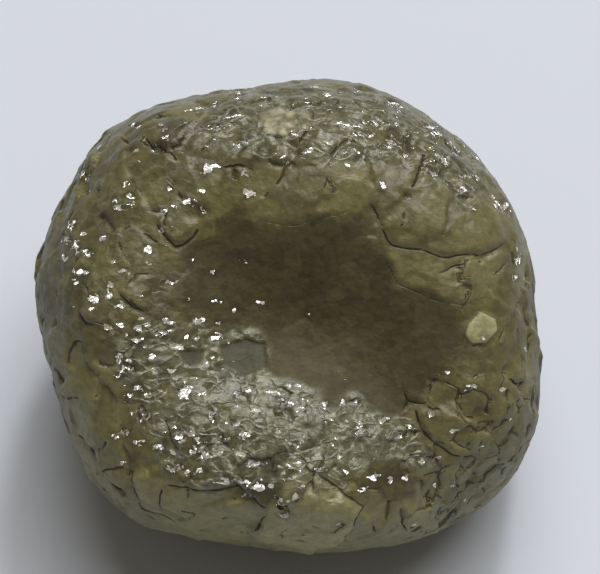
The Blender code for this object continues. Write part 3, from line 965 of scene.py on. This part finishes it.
# %% [markdown]
# ## Facets that flash
# The smallest facets are far finer than the mesh, so they are planes in a bump: each cell of a
# Voronoi texture is one facet, tilted its own way. Inside the ovals of the glints the tilt is
# the one that sends the lamp's light up the dish axis, give or take a little. The planes are
# steeper where the surface itself leans away, or they would fall short of the lamp.

# %% Tilted facets
# Width (mm along x, y and z) and stray of the flashing facets and of the plain ones.
FLASHING_FACETS = ((0.15, 0.075, 0.085), 0.16)
PLAIN_FACETS = ((0.30, 0.17, 0.20), 0.9)


def flash_direction():
    """The way that a facet faces to send the lamp's light up the dish axis."""
    toward = np.array(LAMP_TOWARD) / np.linalg.norm(LAMP_TOWARD) + dish_frame()[2]
    return tuple(float(c) for c in toward / np.linalg.norm(toward))


def tilted_cells(t, place, jagged, size, stray, toward):
    """Small facets of one size: their height, and a chance value for each."""
    spread = t.vector("MULTIPLY", jagged, tuple(1.0 / s for s in size))
    cells = t.add("ShaderNodeTexVoronoi", {"Vector": spread, "Scale": 1.0})
    off = t.vector("SUBTRACT", place, t.vector("MULTIPLY", cells.outputs["Position"], size))
    way = t.vector("SUBTRACT", cells.outputs["Color"], (0.5, 0.5, 0.5))
    way = t.vector("SUBTRACT", t.vector("MULTIPLY", way, (stray, stray, stray)), toward)
    chance = t.add("ShaderNodeTexWhiteNoise", {"Vector": cells.outputs["Position"]})
    return t.dot(off, way), chance.outputs["Value"]


print("a facet flashes when it faces", [round(c, 3) for c in flash_direction()])

# %% Which facets flash
def flashing_facets(t, place, jagged, skin):
    """The flashing facets: their height, where they are (0 or 1), and their chance value."""
    flash = flash_direction()
    steeper = t.math("DIVIDE", 1.0, t.math("MAXIMUM", t.dot(skin["normal"], flash), 0.4))
    height, lot = tilted_cells(t, place, jagged, *FLASHING_FACETS, flash)
    frayed = t.math("MULTIPLY_ADD", t.cloud(place, 9.0, 1.0), 1.6, t.math("SUBTRACT", t.mask("glint"), 0.84))
    spot = t.smooth(frayed, 0.50, 0.57)
    clump = t.smooth(t.cloud(place, 2.6, 1.0), 0.42, 0.60)
    chance = t.math("MULTIPLY", t.math("MULTIPLY_ADD", skin["frost"], 0.10, 0.006), clump)
    chance = t.math("MULTIPLY", chance, t.math("SUBTRACT", 1.0, skin["deep"]))
    flashes = t.math("LESS_THAN", lot, t.math("MULTIPLY_ADD", spot, 0.75, chance))
    return t.math("MULTIPLY", height, steeper), flashes, lot


# %% [markdown]
# ## Relief and gloss of the rest
# Between the glints the skin is broken into duller facets and grain, with the ridges raised and
# the cracks sunk. One height for all of it goes through a single Bump node, because bumps set
# one after another are hard to balance. Gloss follows the same parts: facets shine, the skin is
# greasy, and cracks, windows and the deep dish are dull.

# %% Height and roughness
def skin_height(t, place, jagged, skin):
    """Height of the skin where nothing flashes, in millimetres."""
    broken, _ = tilted_cells(t, place, jagged, *PLAIN_FACETS, (0.0, 0.0, 0.0))
    height = t.math("MULTIPLY", broken, t.math("MULTIPLY_ADD", skin["frost"], 0.26, 0.20))
    height = t.math("MULTIPLY_ADD", t.cloud(place, 7.0, 5.0), 0.022, height)
    height = t.math("MULTIPLY_ADD", skin["vein"], 0.016, height)
    return t.math("MULTIPLY_ADD", skin["seam"], -0.03, height)


def skin_roughness(t, skin, flashes, lot):
    """Roughness of the skin and of the flashing facets in it."""
    greasy = t.math("MULTIPLY_ADD", skin["frost"], -0.12, SKIN_ROUGHNESS)
    facet = t.math("MULTIPLY_ADD", lot, 0.12, FACET_ROUGHNESS)
    rough = t.add("ShaderNodeMapRange", {0: flashes, 3: greasy, 4: facet}).outputs[0]
    calm = t.math("MULTIPLY", t.math("MAXIMUM", skin["deep"], skin["window"]), 0.75)
    dull = t.math("MAXIMUM", skin["seam"], calm)
    return t.math("MAXIMUM", rough, t.math("MULTIPLY", dull, t.math("SUBTRACT", 1.0, flashes)))


# %% [markdown]
# ## Putting the material together
# The textures are read in millimetres from the stone's own coordinates, so they are the same
# size on every side and move with it. What is the same all over is set on the shader's own
# sockets as a plain value, which is also what an exported model can keep.

# %% The diamond's material
def diamond_material():
    """Grey-green diamond."""
    material = bpy.data.materials.new("grey_green_diamond")
    material.use_nodes = True
    nodes, links = material.node_tree.nodes, material.node_tree.links
    shader = nodes["Principled BSDF"]
    t = Tree(material.node_tree)
    place = t.vector("MULTIPLY", t.add("ShaderNodeTexCoord").outputs["Object"], (1.0 / MM,) * 3)
    jitter = t.vector("MULTIPLY", t.cloud(place, 6.0, 2.0, output="Color"), (0.10,) * 3)
    jagged = t.vector("ADD", place, jitter)
    skin = skin_values(t, place)

    colour = marked_colour(t, place, skin, body_colour(t, place, skin))
    links.new(sheen_shade_and_crack_colour(t, place, skin, colour), shader.inputs["Base Color"])

    flashing, flashes, lot = flashing_facets(t, place, jagged, skin)
    calm = t.math("MULTIPLY", skin_height(t, place, jagged, skin), t.math("SUBTRACT", 1.0, flashes))
    height = t.math("ADD", calm, t.math("MULTIPLY", flashing, flashes))
    bump = t.add("ShaderNodeBump", {"Strength": 1.0, "Distance": MM, "Height": height})
    links.new(bump.outputs["Normal"], shader.inputs["Normal"])
    links.new(skin_roughness(t, skin, flashes, lot), shader.inputs["Roughness"])

    shader.inputs["IOR"].default_value = DIAMOND_IOR
    shader.inputs["Specular IOR Level"].default_value = SKIN_SPECULAR
    shader.inputs["Transmission Weight"].default_value = SEEN_THROUGH
    absorbing = t.add("ShaderNodeVolumeAbsorption", {"Color": ABSORBED_COLOUR, "Density": ABSORBED_DENSITY})
    links.new(absorbing.outputs[0], nodes["Material Output"].inputs["Volume"])
    print("nodes in the material:", len(nodes))
    return material


stone.data.materials.append(diamond_material())

# %% [markdown]
# ## The floor
# The stone stands on something plain and pale that catches its shadow and isn't part of it. One
# large square does that. It reaches far past the picture, so its edge is never seen, and its
# faint blue is what a sheet of white paper has in daylight.

# %% The floor
PAPER_COLOUR, PAPER_ROUGHNESS = (0.69, 0.74, 0.845, 1.0), 0.9
PAPER_HALF = 1.0


def paper_floor():
    """A plain pale sheet to stand on."""
    mesh = bpy.data.meshes.new("floor")
    half = PAPER_HALF
    corners = [(-half, -half, 0), (half, -half, 0), (half, half, 0), (-half, half, 0)]
    mesh.from_pydata(corners, [], [(0, 1, 2, 3)])
    floor = bpy.data.objects.new("floor", mesh)
    bpy.context.scene.collection.objects.link(floor)
    material = bpy.data.materials.new("pale_paper")
    material.use_nodes = True
    shader = material.node_tree.nodes["Principled BSDF"]
    shader.inputs["Base Color"].default_value = PAPER_COLOUR
    shader.inputs["Roughness"].default_value = PAPER_ROUGHNESS
    mesh.materials.append(material)
    return floor


paper_floor()
print("the floor is", 2 * PAPER_HALF, "m wide")

# %% [markdown]
# ## Light
# A wide soft light overhead gives the stone its even tones and the shadow its soft edge. A
# small lamp beside it is what the facets flash in: a large one would blur the glints to a
# sheen. A dim warm room fills in what neither of them reaches.

# %% Lights
LIGHT_AIM = (0.0, 0.0, 0.004)
LIGHT_DISTANCE = 0.30
OVERHEAD_TOWARD, OVERHEAD_SIZE, OVERHEAD_POWER = (0.20, 0.30, 1.0), 0.28, 0.73
LAMP_SIZE, LAMP_POWER = 0.045, 0.20
ROOM_COLOUR, ROOM_STRENGTH = (1.0, 0.88, 0.70, 1.0), 0.135


def soft_light(name, toward, size, power, colour):
    """A round soft light that shines at the stone from a direction."""
    data = bpy.data.lights.new(name, "AREA")
    data.shape = "DISK"
    data.size = size
    data.energy = power
    data.color = colour
    light = bpy.data.objects.new(name, data)
    out = Vector(toward).normalized()
    light.location = Vector(LIGHT_AIM) + out * LIGHT_DISTANCE
    light.rotation_euler = out.to_track_quat("Z", "Y").to_euler()
    bpy.context.scene.collection.objects.link(light)


def dim_room():
    """An even warm light from all round."""
    world = bpy.data.worlds.new("room")
    world.use_nodes = True
    background = world.node_tree.nodes["Background"]
    background.inputs["Color"].default_value = ROOM_COLOUR
    background.inputs["Strength"].default_value = ROOM_STRENGTH
    bpy.context.scene.world = world


soft_light("overhead", OVERHEAD_TOWARD, OVERHEAD_SIZE, OVERHEAD_POWER, (1.0, 0.985, 0.94))
soft_light("lamp", LAMP_TOWARD, LAMP_SIZE, LAMP_POWER, (1.0, 0.99, 0.97))
dim_room()
bpy.context.scene.view_settings.view_transform = "Standard"
print("lights:", [light.name for light in bpy.data.lights])

# %% [markdown]
# ## The camera
# The stone is seen from in front and above, straight down the axis of its dish. A long lens
# from further off keeps the outline true, where a short one would swell the near wall. Since the
# dish's directions are known, they are the camera's own directions too, and no angle has to be
# found by trial.

# %% The camera
FRAME_WIDTH = 12.0
AIM_U, AIM_V = 0.18, 0.62
LENS, SENSOR = 180.0, 36.0


def camera_down_the_dish():
    """A camera that looks down the dish axis, with 12 mm of the stone across its frame."""
    data = bpy.data.cameras.new("camera")
    data.lens = LENS
    data.sensor_width = SENSOR
    data.clip_start = 0.001
    distance = FRAME_WIDTH * LENS / SENSOR
    rows = dish_frame()
    shift = from_middle_to_origin(surface @ rows)
    place = (np.array((AIM_U, AIM_V, distance)) @ rows + shift) * MM
    camera = bpy.data.objects.new("camera", data)
    turn = Matrix([rows[0], rows[1], rows[2]]).transposed()
    camera.matrix_world = Matrix.Translation(Vector(place)) @ turn.to_4x4()
    bpy.context.scene.collection.objects.link(camera)
    bpy.context.scene.camera = camera
    print("the camera stands", distance, "mm away")


camera_down_the_dish()
